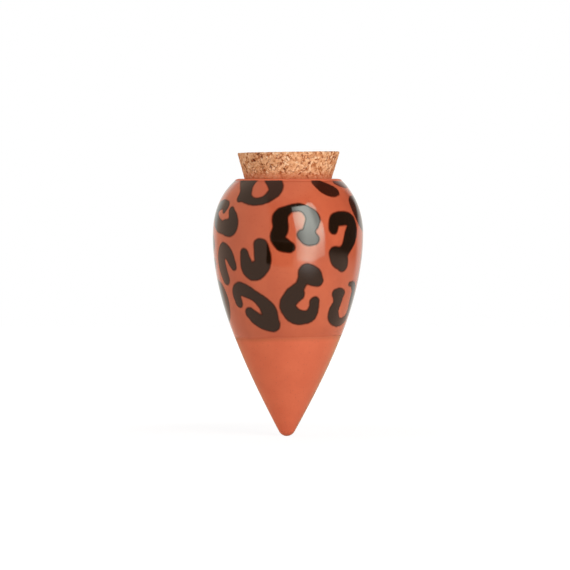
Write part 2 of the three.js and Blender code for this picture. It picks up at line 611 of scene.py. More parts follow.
@dataclass(frozen=True)
class Spot:
    """One spot: the strokes that make it, and how thin its paint is, from 0 to 1."""

    strokes: tuple[Stroke, ...]
    thin: float = 0.0
    pool: float = 1.2

    def middle(self) -> np.ndarray:
        """Gives the angle and length of the spot's middle."""
        knots = np.array([knot[:2] for stroke in self.strokes for knot in stroke.knots])
        return (knots.min(axis=0) + knots.max(axis=0)) / 2

    def distance(self, angle: np.ndarray, length: np.ndarray, radius: np.ndarray) -> np.ndarray:
        """Measures how far points of the vessel's side lie from the spot's edge.

        Args:
            angle: The points' angles in degrees.
            length: The points' lengths up the side.
            radius: The points' radii.

        Returns:
            The distances, below 0 inside the spot and no more than FAR.
        """
        middle = self.middle()
        turn = (angle - middle[0] + 180) % 360 - 180
        near = (np.abs(turn) < SPOT_REACH[0]) & (np.abs(length - middle[1]) < SPOT_REACH[1])
        across, up, degree = turn[near], length[near], np.radians(radius[near])
        total = np.full(len(across), FAR)
        for stroke in self.strokes:
            line = stroke.line()
            line[:, 0] -= middle[0]
            best = np.full(len(across), FAR)
            for start, end in zip(line, line[1:]):
                x, y = (across - start[0]) * degree, up - start[1]
                dx, dy = (end[0] - start[0]) * degree, end[1] - start[1]
                share = np.clip((x * dx + y * dy) / (dx * dx + dy * dy + TINY), 0, 1)
                width = start[2] + share * (end[2] - start[2])
                best = np.minimum(best, np.hypot(x - share * dx, y - share * dy) - width)
            total = pooled(total, best, self.pool)
        edge = np.full(len(angle), FAR)
        edge[near] = total
        return edge


def spot(*strokes: tuple[Triple, ...], thin: float = 0.0) -> Spot:
    """Makes a spot from the knots of its strokes."""
    return Spot(tuple(Stroke(knots) for knots in strokes), thin)


@dataclass(frozen=True)
class Repeat:
    """A spot painted again: where its middle goes, how far it is turned, and whether it is mirrored."""

    name: str
    angle: float
    length: float
    turn: float = 0.0
    mirrored: bool = False

    def painted(self, lengths: np.ndarray, radii: np.ndarray) -> Spot:
        """Gives the spot in its new place.

        Args:
            lengths: Lengths up the vessel's side.
            radii: The side's radius at those lengths.

        Returns:
            The spot.
        """
        source = SPOTS[self.name]
        middle = source.middle()
        turn = math.radians(self.turn)
        spin = np.array([[math.cos(turn), math.sin(turn)], [-math.sin(turn), math.cos(turn)]])
        old_degree, new_degree = np.radians(np.interp((middle[1], self.length), lengths, radii))
        strokes = []
        for stroke in source.strokes:
            knots = np.array(stroke.knots, float)
            offsets = (knots[:, :2] - middle) * (-old_degree if self.mirrored else old_degree, 1)
            knots[:, :2] = offsets @ spin / (new_degree, 1) + (self.angle, self.length)
            strokes.append(Stroke(tuple(map(tuple, knots))))
        return Spot(tuple(strokes), source.thin)


SPOTS: dict[str, Spot] = {
    "collar_cup": spot(
        ((-57.5, 92.8, 1.8), (-50.3, 90.4, 3.1), (-43.8, 87.2, 4.0), (-41.4, 83, 4.1), (-44.8, 80.2, 2.6)),
        ((-41.4, 93.5, 4.1), (-43, 88, 3.8)),
        (
            (-41.3, 82.5, 4.0), (-35.5, 79.4, 2.9), (-28, 78, 2.3), (-19.8, 79.2, 2.6), (-12.7, 83.8, 3.7),
            (-11.9, 88, 4.3), (-17, 93.5, 4.4),
        ),
    ),
    "collar_leaf": spot(((30.3, 90.6, 3.1), (36, 87.1, 4.5), (42, 85.3, 4.4), (48.2, 84.7, 2.9)), thin=0.35),
    "collar_fleck": spot(((55.5, 90.7, 1.2), (62, 89.8, 2.1), (70, 89.2, 2.1), (77, 88.7, 1.7)), thin=1.0),
    "right_ring": spot(
        (
            (98, 70, 3.2), (93, 77, 2.8), (84, 79, 2.6), (74, 78.5, 3.0), (67.2, 76.3, 3.9),
            (70.3, 70.5, 4.1), (76, 66, 3.7), (84, 63.5, 3.2),
        ),
        ((74, 75.5, 4.2), (78, 69.5, 4.2)),
        thin=0.35,
    ),
    "left_cup": spot(
        (
            (-51.2, 72.7, 2.2), (-47.8, 68.6, 3.4), (-46.6, 64.5, 3.9), (-50, 61.7, 3.9), (-58, 62.5, 3.6),
            (-66, 63.9, 3.8), (-74, 67, 3.8),
        ),
        ((-53, 65.2, 2.6), (-57.5, 65, 2.6)),
        ((-60, 75.8, 2.5), (-66, 76.2, 2.9), (-74, 75, 3.5), (-81, 71, 4.2)),
        ((-60.5, 75, 2.4), (-61.5, 72.8, 1.8)),
    ),
    "horseshoe": spot(
        (
            (1.1, 52.2, 3.1), (-4.3, 53.9, 4.1), (-8.3, 57.8, 3.9), (-6.6, 60.6, 4.4), (-5.6, 63.4, 4.4),
            (-5.9, 69.3, 4.3), (0, 73.2, 2.6), (8, 74.7, 2.4), (14.3, 73, 2.7), (19.2, 68.7, 4.2),
            (18.6, 65.8, 4.2), (16.1, 62.4, 3.6), (15.9, 58.8, 4.1),
        ),
        ((10.8, 59.0, 3.2), (15.4, 57.4, 4.3), (20.0, 56.6, 3.1)),
    ),
    "hook": spot(
        (
            (36.6, 62.4, 3.2), (38.4, 66.9, 3.9), (45, 68.1, 4.1), (51.5, 68.1, 3.9), (56.6, 66.2, 4.6),
            (58.2, 62.4, 5.1), (55.4, 58, 5.9), (51.3, 52.8, 4.5), (46.2, 48.2, 4.0),
        ),
        ((38, 48.7, 3.9), (42.4, 46.3, 5.9), (45.8, 44.6, 5.4), (47.5, 42.7, 4.5)),
    ),
    "wishbone": spot(
        (
            (-59.7, 34.2, 3.7), (-62.5, 39.5, 4.4), (-63.5, 45.5, 4.2), (-58.8, 50.2, 4.4),
            (-52.2, 47.9, 3.8), (-48.6, 43.2, 2.9), (-47, 40.9, 2.0),
        ),
    ),
    "cup": spot(
        (
            (-35.4, 49, 2.6), (-34.5, 44.5, 3.6), (-32.4, 40.2, 4.6), (-27, 38.8, 5.4), (-20.5, 42.3, 4.8),
            (-19.8, 47.5, 5.0), (-20.8, 52.9, 4.1),
        ),
        ((-22.9, 54.1, 2.7), (-20.8, 52, 4.0)),
    ),
    "low_hook": spot(
        (
            (-47.6, 20.4, 2.8), (-48.5, 25.4, 3.4), (-44.1, 28.5, 4.0), (-37, 27.3, 3.8), (-29, 24.4, 3.2),
            (-21.4, 20.1, 3.9), (-17.3, 15.5, 4.6), (-15.2, 8, 4.1),
        ),
        ((-36.5, 14.5, 3.4), (-30.3, 11.1, 3.9), (-22, 8.9, 4.4), (-15.4, 8, 4.2)),
    ),
    "low_six": spot(
        ((24.4, 33.4, 3.4), (19.6, 36.2, 5.4), (14.6, 38.6, 4.6)),
        (
            (14, 37.4, 4.1), (10.3, 31.4, 3.0), (5.3, 25.9, 4.7), (-0.4, 20.4, 4.5), (2.2, 15.5, 4.5),
            (8, 12.7, 4.5), (15, 12.2, 4.1), (20.8, 13.6, 3.9), (23.4, 18, 3.0), (23.4, 21.3, 3.0),
        ),
        ((4, 25.2, 4.3), (9.1, 25.6, 3.1)),
    ),
    "low_cup": spot(
        ((43.8, 26, 2.6), (48.3, 25.6, 3.2), (52.6, 25.8, 2.3)),
        (
            (48.2, 24.5, 4.2), (48.3, 20.5, 3.6), (46, 15.2, 4.0), (48.5, 11.7, 3.9), (55, 9.1, 2.8),
            (63, 9, 2.4), (71, 11, 2.6), (76, 16, 3.5), (75.2, 22, 4.1), (73, 27.5, 3.0),
            (67, 30.6, 1.9), (61, 31.1, 1.2),
        ),
    ),
    "left_ring": spot(
        (
            (-80, 30.5, 2.8), (-71.5, 27.5, 3.4), (-68.5, 21, 3.4), (-72.5, 14.8, 3.2), (-80, 11.8, 3.2),
            (-88, 13, 3.0), (-93, 18, 3.0),
        ),
        ((-78, 26.5, 4.0), (-80, 17, 4.4)),
    ),
}

# The side away from the view carries the same spots, turned and mirrored.
REPEATS: tuple[Repeat, ...] = (
    Repeat("low_cup", 121, 20, 8, True),
    Repeat("low_six", 172, 25.4, -6, True),
    Repeat("low_hook", 216, 18, 6, True),
    Repeat("collar_leaf", 249, 18.5, 80),
    Repeat("wishbone", 93, 45, -20, True),
    Repeat("hook", 137, 55.4, 6, True),
    Repeat("cup", 212, 46.5, -10, True),
    Repeat("wishbone", 238, 42.2, 8, True),
    Repeat("cup", 272, 47, -65, True),
    Repeat("horseshoe", 178, 63.7, -8, True),
    Repeat("left_cup", 246, 69, 10, True),
    Repeat("collar_leaf", 104, 88, 8, True),
    Repeat("collar_leaf", 145, 88, -6, True),
    Repeat("collar_cup", 219, 86, 0, True),
    Repeat("collar_leaf", 270, 88, 0, True),
)


# The vessel.

HALVINGS = 40
ROUNDING = 0.6


@dataclass(frozen=True)
class Stretch:
    """A stretch of the vessel's profile: a cubic curve in radius and height, and its steps."""

    start: Vector
    start_pull: Vector
    end_pull: Vector
    end: Vector
    steps: int = 1

    def at(self, share: float) -> Vector:
        """Gives the point at a share of the stretch."""
        return self.split(share)[0].end

    def split(self, share: float, steps: int = 1) -> tuple["Stretch", "Stretch"]:
        """Cuts the stretch in two.

        Args:
            share: Where the cut lies, 0 to 1.
            steps: The steps of each part.

        Returns:
            The part before the cut and the part after it.
        """
        first = self.start.lerp(self.start_pull, share)
        middle = self.start_pull.lerp(self.end_pull, share)
        last = self.end_pull.lerp(self.end, share)
        before = first.lerp(middle, share)
        after = middle.lerp(last, share)
        cut = before.lerp(after, share)
        return Stretch(self.start, first, before, cut, steps), Stretch(cut, after, last, self.end, steps)

    def share_at(self, height: float) -> float:
        """Finds where a rising stretch reaches a height.

        Args:
            height: The height.

        Returns:
            The share of the stretch.
        """
        low, high = 0.0, 1.0
        for _ in range(HALVINGS):
            middle = (low + high) / 2
            low, high = (middle, high) if self.at(middle).y < height else (low, middle)
        return low

    def moved_out(self, distance: float, steps: int = 1) -> "Stretch":
        """Moves the stretch square to itself by moving the legs of its frame.

        Args:
            distance: How far, outwards for a rising stretch, or inwards if it is below 0.
            steps: The steps of the moved stretch.

        Returns:
            The moved stretch.
        """
        corners = (self.start, self.start_pull, self.end_pull, self.end)
        legs = [(b - a).normalized() for a, b in zip(corners, corners[1:])]
        sides = [Vector((leg.y, -leg.x)) for leg in legs]
        joints = [(a + b) / (1 + a.dot(b)) for a, b in zip(sides, sides[1:])]
        outs = [sides[0], *joints, sides[-1]]
        return Stretch(*(corner + out * distance for corner, out in zip(corners, outs)), steps)

    def turned_round(self, steps: int) -> "Stretch":
        """Gives the same stretch run the other way."""
        return Stretch(self.end, self.end_pull, self.start_pull, self.start, steps)


def straight(start: Vector, end: Vector, steps: int) -> Stretch:
    """Makes a straight stretch."""
    return Stretch(start, start.lerp(end, 1 / 3), start.lerp(end, 2 / 3), end, steps)


def rounded(start: Vector, corner: Vector, end: Vector, steps: int) -> Stretch:
    """Makes a stretch that rounds a corner."""
    return Stretch(start, start.lerp(corner, ROUNDING), end.lerp(corner, ROUNDING), end, steps)


def leaning(degrees: float) -> Vector:
    """Gives the direction up a profile that leans out from the axis by an angle."""
    return Vector((math.sin(math.radians(degrees)), math.cos(math.radians(degrees))))


@dataclass
class Vessel:
    """The clay vessel: a turned shell with a bare cone, a dipped glaze and painted spots."""

    glaze: float = 0.2
    glaze_line: float = 57.0
    belly_height: float = 114.0
    wall: float = 5.0
    tip_radius: float = 5.0
    cone_angle: float = 28.5
    flank_pulls: Pair = (51.5, 32.0)
    shoulder_pulls: Pair = (15.5, 8.0)
    shoulder_angle: float = 46.5
    trim: float = 0.45
    mouth_radius: float = 24.97
    mouth_edge: float = 0.6
    lip_width: float = 5.15
    lip_height: float = 1.15
    lip_edge: Pair = (3.2, 1.15)
    lip_step: float = 0.2
    seat_angle: float = 16.3
    cavity_tip: float = 3.0
    cavity_round: float = 0.55
    facets: int = 300
    crease_angle: float = 40.0
    merge: float = 0.01
    samples: int = 200
    outer_radius: float = 27.0
    sway: float = 0.15
    sway_reach: float = 25.0
    lip_sway: float = 0.2
    lip_sway_drop: float = 8.0
    lip_sway_reach: float = 6.0
    tip_lean: float = 0.55
    tip_bend: float = 1.5
    line_tilt: float = 0.85
    line_wander: float = 0.25
    line_waves: tuple[Triple, ...] = ((1.0, 2, 0.6), (0.6, 5, 2.1), (0.4, 9, 4.0))
    line_reach: float = 9.0
    line_flare: float = 21.0
    paint_depth: float = 1.0
    paint_over: float = 0.05
    piece: Piece | None = None
    outside: list[Stretch] = field(default_factory=list)

    def __post_init__(self) -> None:
        """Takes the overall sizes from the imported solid."""
        low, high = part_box("clay_vessel")
        self.floor = low.z / MM
        self.rim_height = (high.z - low.z) / MM - self.trim
        self.belly_radius = high.x / MM - self.glaze

    def build(self) -> None:
        """Models the vessel."""
        self._draw_profile()
        self._spin()
        self._throw()
        self._paint()
        self._coat()

    def _flank(self) -> Stretch:
        """Gives the clay's outside from the rounded point to the belly.

        Returns:
            The stretch.
        """
        lean = math.radians(self.cone_angle)
        start = Vector((self.tip_radius * math.cos(lean), self.tip_radius * (1 - math.sin(lean))))
        belly = Vector((self.belly_radius, self.belly_height))
        low_pull, high_pull = self.flank_pulls
        pulls = (start + leaning(self.cone_angle) * low_pull, belly - leaning(0) * high_pull)
        return Stretch(start, *pulls, belly)

    def _shoulder(self) -> Stretch:
        """Gives the clay's outside from the belly to the foot of the lip.

        Returns:
            The stretch.
        """
        belly = Vector((self.belly_radius, self.belly_height))
        radius = self.mouth_radius + self.lip_width + self.lip_step - self.glaze
        top = Vector((radius, self.rim_height - self.lip_height))
        low_pull, high_pull = self.shoulder_pulls
        pulls = (belly + leaning(0) * low_pull, top - leaning(-self.shoulder_angle) * high_pull)
        return Stretch(belly, *pulls, top)

    def _profile(self) -> list[Stretch]:
        """Gives the whole profile, from the point up the outside, over the lip and down the inside.

        Returns:
            The stretches in order.
        """
        flank, shoulder = self._flank(), self._shoulder()
        tip_corner = Vector((self.tip_radius * math.tan(math.radians(90 - self.cone_angle) / 2), 0))
        tip = rounded(Vector((0, 0)), tip_corner, flank.start, steps=8)
        bare, glazed = flank.split(flank.share_at(self.glaze_line), steps=64)
        coat = glazed.moved_out(self.glaze, steps=76)
        bead = rounded(bare.end, bare.end + Vector((self.glaze, 0)), coat.start, steps=3)
        top = shoulder.moved_out(self.glaze, steps=44)
        self.outside = [coat, top]
        return [tip, bare, bead, coat, top, *self._lip(top.end), *self._inside(flank, shoulder)]

    def _lip(self, foot: Vector) -> list[Stretch]:
        """Gives the collar and the seat in the mouth.

        Args:
            foot: Where the shoulder's glaze ends.

        Returns:
            The stretches from the groove under the collar to the throat.
        """
        radius = self.mouth_radius + self.lip_width
        side = Vector((radius, foot.y + self.lip_step))
        brow = Vector((radius, self.rim_height))
        brow_start = Vector((radius, self.rim_height - self.lip_edge[1]))
        brow_end = Vector((radius - self.lip_edge[0], self.rim_height))
        mouth = Vector((self.mouth_radius, self.rim_height))
        throat = self._throat()
        edge_start = mouth + Vector((self.mouth_edge, 0))
        edge_end = mouth + (throat - mouth).normalized() * self.mouth_edge
        return [
            straight(foot, side, steps=2),
            straight(side, brow_start, steps=1),
            rounded(brow_start, brow, brow_end, steps=6),
            straight(brow_end, edge_start, steps=3),
            rounded(edge_start, mouth, edge_end, steps=4),
            straight(edge_end, throat, steps=4),
        ]

    def _throat(self) -> Vector:
        """Finds where the inside of the shoulder runs into the seat.

        Returns:
            The point, in radius and height.
        """
        inner = self._shoulder().moved_out(-self.wall).end
        slope = leaning(-self.shoulder_angle)
        taper = math.tan(math.radians(self.seat_angle))
        seat_radius = self.mouth_radius - (self.rim_height - inner.y) * taper
        return inner + slope * ((seat_radius - inner.x) / (slope.x - taper * slope.y))

    def _inside(self, flank: Stretch, shoulder: Stretch) -> list[Stretch]:
        """Gives the cavity's wall, one wall's thickness inside the clay's outside.

        Args:
            flank: The clay's outside up to the belly.
            shoulder: The clay's outside above the belly.

        Returns:
            The stretches from the throat to the cavity's bottom.
        """
        inner_shoulder = shoulder.moved_out(-self.wall)
        inner_flank = flank.moved_out(-self.wall)
        side = inner_flank.split(inner_flank.share_at(inner_flank.start.y + self.cavity_tip))[1]
        drop = math.tan(math.pi / 4 - math.radians(self.cone_angle) / 2)
        bottom = Vector((0, side.start.y - side.start.x * drop))
        corner = Vector((side.start.x * self.cavity_round, bottom.y))
        return [
            straight(self._throat(), inner_shoulder.end, steps=2),
            inner_shoulder.turned_round(steps=16),
            side.turned_round(steps=34),
            rounded(side.start, corner, bottom, steps=5),
        ]

    def _draw_profile(self) -> None:
        """Draws the profile as a curve with handles and turns it into a chain of edges."""
        bpy.ops.object.select_all(action="DESELECT")
        bpy.ops.curve.primitive_bezier_curve_add(location=(0, 0, 0))
        curve = bpy.context.object.data
        curve.splines.clear()
        for stretch in self._profile():
            spline = curve.splines.new("BEZIER")
            spline.resolution_u = stretch.steps
            spline.bezier_points.add(1)
            ends = (stretch.start, stretch.end)
            pulls = (stretch.start_pull, stretch.end_pull)
            for knot, end, pull in zip(spline.bezier_points, ends, pulls):
                knot.handle_left_type = knot.handle_right_type = "FREE"
                knot.co = self._in_frame(end)
                knot.handle_left = knot.handle_right = self._in_frame(pull)
        bpy.ops.object.convert(target="MESH")
        self.piece = named("spotted_vessel")

    def _in_frame(self, on_profile: Vector) -> Vector:
        """Puts a point of the profile into the shared frame, in metres."""
        return Vector((on_profile.x, 0, on_profile.y + self.floor)) * MM

    def _spin(self) -> None:
        """Turns the profile round the axis and closes the shell."""
        bpy.ops.object.mode_set(mode="EDIT")
        bpy.ops.mesh.select_all(action="SELECT")
        bpy.ops.mesh.remove_doubles(threshold=self.merge * MM)
        bpy.ops.mesh.spin(steps=self.facets, angle=math.tau, center=(0, 0, 0), axis=(0, 0, 1))
        bpy.ops.mesh.select_all(action="SELECT")
        bpy.ops.mesh.remove_doubles(threshold=self.merge * MM)
        bpy.ops.mesh.normals_make_consistent(inside=False)
        bpy.ops.object.mode_set(mode="OBJECT")
        bpy.ops.object.shade_smooth_by_angle(angle=math.radians(self.crease_angle))

    def _line_rise(self, radii: np.ndarray, angles: np.ndarray) -> np.ndarray:
        """Gives how far the glaze line lies above its mean height.

        Args:
            radii: The radii of points.
            angles: Their angles round the axis.

        Returns:
            The rises.
        """
        wander = sum(height * np.sin(count * angles + phase) for height, count, phase in self.line_waves)
        tilt = radii * np.sin(angles) * math.tan(math.radians(self.line_tilt))
        return tilt + self.line_wander * wander

    def _throw(self) -> None:
        """Gives the shell its small faults: a tilted, wandering glaze line, and a point off the axis."""
        points = read_points(self.piece)
        heights = points[:, 2] - self.floor
        radii, angles = round_axis(points)
        outer = radii > self.outer_radius
        near = eased(1 - np.abs(heights - self.glaze_line) / self.line_reach) * outer
        rise = self._line_rise(radii, angles) * near
        grown = 1 + rise * math.tan(math.radians(self.line_flare)) / np.maximum(radii, 1)
        points *= np.stack([grown, grown, np.ones(len(points))], axis=1)
        points[:, 2] += rise
        lip_start = self.rim_height - self.lip_sway_drop
        points[:, 0] -= self.sway * eased((self.belly_height - heights) / self.sway_reach)
        points[:, 0] += self.lip_sway * eased((heights - lip_start) / self.lip_sway_reach) * outer
        points[:, 0] -= self.tip_lean * np.clip(1 - heights / self.glaze_line, 0, 1) ** self.tip_bend
        write_points(self.piece, points)
        write_attribute(self.piece, "line_drop", self.glaze_line - heights)

    def _side_lengths(self) -> tuple[np.ndarray, np.ndarray, np.ndarray]:
        """Measures the glazed outside.

        Returns:
            Heights above the point, radii and lengths up the side from the glaze line, in order.
        """
        shares = [step / self.samples for step in range(self.samples + 1)]
        points = np.array([stretch.at(share) for stretch in self.outside for share in shares])
        steps = np.hypot(*np.diff(points, axis=0).T)
        return points[:, 1], points[:, 0], np.concatenate([[0.0], np.cumsum(steps)])

    def _paint(self) -> None:
        """Brushes the spots on: stores the distances to their edges and the lip, and thin paint."""
        points = read_points(self.piece)
        heights, radii, lengths = self._side_lengths()
        rise = points[:, 2] - self.floor
        reach, angles = round_axis(points)
        beside = reach > np.interp(rise, heights, radii) - self.paint_depth
        outer = beside & (rise > self.glaze_line) & (rise < heights[-1] + self.paint_over)
        angle = np.degrees(angles[outer])
        length = np.interp(rise[outer], heights, lengths)
        edge, thin = np.full(len(angle), FAR), np.zeros(len(angle))
        for one in (*SPOTS.values(), *(repeat.painted(lengths, radii) for repeat in REPEATS)):
            distance = one.distance(angle, length, reach[outer])
            thin = np.where(distance < edge, one.thin, thin)
            edge = np.minimum(edge, distance)
        drop = lengths[-1] - length
        layers = (("spot_edge", FAR, edge), ("paint_thin", 0.0, thin), ("lip_drop", FAR, drop))
        for name, blank, values in layers:
            stored = np.full(len(points), blank)
            stored[outer] = values
            write_attribute(self.piece, name, stored)

    def _coat(self) -> None:
        """Gives each face its coat: glazed from the glaze line over the lip to the throat, or bare."""
        faces = self.piece.data.polygons
        centres, normals = read_rows(faces, "center") / MM, read_rows(faces, "normal")
        heights = centres[:, 2] - self.floor
        radii, angles = round_axis(centres)
        outward = (centres[:, :2] * normals[:, :2]).sum(axis=1) > 0
        above = heights > self.glaze_line + self._line_rise(radii, angles)
        glazed = (above & outward) | (heights > self._throat().y)
        slots = np.where(glazed, Coat.GLAZED.value, Coat.BARE.value)
        faces.foreach_set("material_index", slots.astype(np.int32))

    def dress(self, bare: Finish, glazed: Finish) -> None:
        """Gives the vessel its finishes and its place in the frame.

        Args:
            bare: The finish of bare clay.
            glazed: The finish of glazed clay.
        """
        for finish in (bare, glazed):
            self.piece.data.materials.append(finish)
        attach(self.piece, "vessel")
        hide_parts("clay_vessel")


# The stopper.


@dataclass
class Stopper:
    """The cork stopper: a tapered plug of pressed granules, set a little askew in the mouth."""

    taper: float = 16.3
    facets: int = 192
    edge: float = 0.6
    edge_steps: int = 4
    edge_angle: float = 40.0
    voxel: float = 0.32
    seed: int = 7
    granule: float = 1.5
    margin: float = 2.0
    tone: Pair = (0.54, 0.21)
    lift: Pair = (0.0, 0.06)
    lift_limit: float = 0.1
    proud: float = 0.12
    seam_reach: float = 0.3
    seam_depth: float = 0.12
    missing: float = 0.05
    pit_reach: float = 0.45
    pit_depth: float = 0.6
    warp: float = 0.28
    warp_turns: Pair = (1.7, 1.1)
    slant: float = 0.85
    lean: float = 0.35
    seat_height: float = 89.0
    piece: Piece | None = None

    def __post_init__(self) -> None:
        """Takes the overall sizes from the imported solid."""
        low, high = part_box("cork_stopper")
        self.bottom, self.top = low.z / MM, high.z / MM
        self.top_radius = high.x / MM

    def build(self) -> None:
        """Models the stopper."""
        self._turn_plug()
        self._press_granules()
        self._cut_askew()

    def _turn_plug(self) -> None:
        """Turns a tapered plug with rounded ends and gives it an even, fine skin."""
        height = self.top - self.bottom
        bpy.ops.object.select_all(action="DESELECT")
        bpy.ops.mesh.primitive_cone_add(
            vertices=self.facets,
            radius1=(self.top_radius - height * math.tan(math.radians(self.taper))) * MM,
            radius2=self.top_radius * MM,
            depth=height * MM,
            location=(0, 0, (self.top + self.bottom) / 2 * MM),
        )
        self.piece = named("bonded_stopper")
        bpy.ops.object.transform_apply(location=True, rotation=True, scale=True)
        bpy.ops.object.mode_set(mode="EDIT")
        bpy.ops.mesh.select_all(action="DESELECT")
        bpy.ops.mesh.select_mode(type="EDGE")
        bpy.ops.mesh.edges_select_sharp(sharpness=math.radians(self.edge_angle))
        bpy.ops.mesh.bevel(offset=self.edge * MM, segments=self.edge_steps, affect="EDGES")
        bpy.ops.object.mode_set(mode="OBJECT")
        skin = self.piece.modifiers.new("skin", "REMESH")
        skin.mode = "VOXEL"
        skin.voxel_size = self.voxel * MM
        bpy.ops.object.modifier_apply(modifier=skin.name)
        bpy.ops.object.shade_smooth()

    def _press_granules(self) -> None:
        """Presses the granules: chips a little proud or low, seams between them, and pits."""
        rng = np.random.default_rng(self.seed)
        points, normals = read_points(self.piece), read_rows(self.piece.data.vertices, "normal")
        half = self.top_radius + self.margin
        room = np.array([2 * half, 2 * half, self.top - self.bottom + 2 * self.margin])
        count = int(room.prod() / self.granule**3)
        seeds = rng.random((count, 3)) * room + np.array([-half, -half, self.bottom - self.margin])
        tones = np.clip(rng.normal(*self.tone, count), 0, 1)
        lifts = rng.normal(*self.lift, count)
        missing = rng.random(count) < self.missing
        first, gap = self._nearest(seeds, self._warped(points))
        hollow = missing[first] * eased(gap / self.pit_reach)
        seam = eased(1 - gap / self.seam_reach)
        lift = lifts[first] * eased(gap / self.seam_reach)
        relief = lift - self.seam_depth * seam - self.pit_depth * hollow
        relief = np.minimum(relief, self.lift_limit) + self.proud
        write_points(self.piece, points + normals * relief[:, None])
        for name, values in (("granule_tone", tones[first]), ("seam_gap", gap), ("pit_depth", hollow)):
            write_attribute(self.piece, name, values)

    def _warped(self, points: np.ndarray) -> np.ndarray:
        """Bends places a little, so that the granules' outlines aren't straight.

        Args:
            points: The places.

        Returns:
            The bent places.
        """
        next_turn, last_turn = self.warp_turns
        waves = np.roll(points, -1, axis=1) * next_turn + np.roll(points, -2, axis=1) * last_turn
        return points + self.warp * np.sin(waves)

    @staticmethod
    def _nearest(seeds: np.ndarray, places: np.ndarray) -> tuple[np.ndarray, np.ndarray]:
        """Finds which granule each place belongs to.

        Args:
            seeds: The granules' middles.
            places: The places.

        Returns:
            The granule's number at each place, and how much nearer it is than the next one.
        """
        tree = KDTree(len(seeds))
        for number, seed in enumerate(seeds):
            tree.insert(seed, number)
        tree.balance()
        found = [tree.find_n(place, 2) for place in places]
        first = np.array([pair[0][1] for pair in found])
        gap = np.array([pair[1][2] - pair[0][2] for pair in found])
        return first, gap

    def _cut_askew(self) -> None:
        """Slants the top, its right side up, and leans the part that stands out of the mouth."""
        points = read_points(self.piece)
        share = np.clip((points[:, 2] - self.seat_height) / (self.top - self.seat_height), 0, 1)
        points[:, 2] += share * points[:, 0] * math.tan(math.radians(self.slant))
        points[:, 0] += share * self.lean
        write_points(self.piece, points)

    def dress(self, cork: Finish) -> None:
        """Gives the stopper its finish and its place in the frame.

        Args:
            cork: The finish of bonded cork.
        """
        self.piece.data.materials.append(cork)
        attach(self.piece, "stopper")
        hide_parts("cork_stopper")


# The studio.


@dataclass(frozen=True)
class Lamp:
    """A soft lamp that faces the axis: its angles in degrees, its sizes and its brightness."""

    name: str
    azimuth: float
    distance: float
    level: float
    tip: float
    width: float
    height: float
    brightness: float
    work: Work
    colour: Triple = (1.0, 1.0, 1.0)
    roll: float = 0.0

    def light(self) -> None:
        """Makes the lamp and places it."""
        data = bpy.data.lights.new(self.name, "AREA")
        data.shape = "RECTANGLE"
        data.size = self.width
        data.size_y = self.height
        data.energy = self.brightness * math.pi * self.width * self.height
        data.color = self.colour
        self.shade(data)
        lamp = bpy.data.objects.new(self.name, data)
        azimuth, tip = math.radians(self.azimuth), math.radians(self.tip)
        away = Vector((math.sin(azimuth), -math.cos(azimuth), 0))
        lamp.location = away * self.distance + Vector((0, 0, self.level))
        facing = away * math.cos(tip) + Vector((0, 0, math.sin(tip)))
        roll = Matrix.Rotation(math.radians(self.roll), 3, "Z")
        lamp.rotation_euler = (facing.to_track_quat("Z", "Y").to_matrix() @ roll).to_euler()
        lamp.visible_camera = False
        lamp.visible_diffuse = self.work is Work.LIGHT
        lamp.visible_glossy = self.work is Work.GLINT
        bpy.context.scene.collection.objects.link(lamp)

    def shade(self, data: bpy.types.AreaLight) -> None:
        """Leaves a plain lamp evenly bright."""


@dataclass(frozen=True)
class Window(Lamp):
    """A lamp shaded as a window, with its places as shares of its width and height."""

    middle: float = 0.55
    left_bulge: Fade = (0.0, 0.25, 0.10, 0.0)
    left_fade: Fade = (-0.10, 0.40, 0.25, 1.0)
    low_fade: Fade = (-0.19, 0.47, 0.40, 1.0)
    bar: float = 0.71
    bar_fade: Fade = (0.02, 0.08, 0.90, 1.0)
    dim_across: Fade = (0.55, 0.80)
    dim_up: Fade = (0.25, 0.45, 0.12, 0.42)
    top_slope: float = 0.155
    top_step: Fade = (0.56, 0.68, 0.0, 0.10)
    top_fade: Fade = (0.985, 0.945)
    corner_slope: float = 0.35
    corner_fade: Fade = (-0.31, -0.09, 0.5, 1.0)
    right_slope: float = 0.12
    right_notch: Fade = (0.08, 0.18, 0.06, 0.0)
    right_fade: Fade = (1.03, 0.94)

    def shade(self, data: bpy.types.AreaLight) -> None:
        """Shades the lamp: a bar, a dimmer pane on the right, and darker to the left and below.

        Args:
            data: The lamp's light.
        """
        data.use_nodes = True
        wiring = Wiring(data.node_tree)
        shares = wiring.parts(wiring.out("NewGeometry", "Parametric"))
        across, up = shares["X"], shares["Y"]
        from_middle = wiring.apart(up, self.middle)
        left = wiring.plus(across, wiring.fade(from_middle, *self.left_bulge))
        dim = wiring.times(wiring.fade(across, *self.dim_across), wiring.fade(up, *self.dim_up))
        top = wiring.plus(up, wiring.times(across, self.top_slope))
        top = wiring.minus(top, wiring.fade(across, *self.top_step))
        corner = wiring.minus(up, wiring.times(across, self.corner_slope))
        right = wiring.plus(across, wiring.times(up, self.right_slope))
        right = wiring.plus(right, wiring.fade(from_middle, *self.right_notch))
        strength = wiring.times(
            wiring.fade(left, *self.left_fade),
            wiring.fade(up, *self.low_fade),
            wiring.fade(wiring.apart(across, self.bar), *self.bar_fade),
            wiring.minus(1.0, dim),
            wiring.fade(top, *self.top_fade),
            wiring.fade(corner, *self.corner_fade),
            wiring.fade(right, *self.right_fade),
        )
        wiring.feed(wiring.tree.nodes["Emission"], {"Strength": strength})


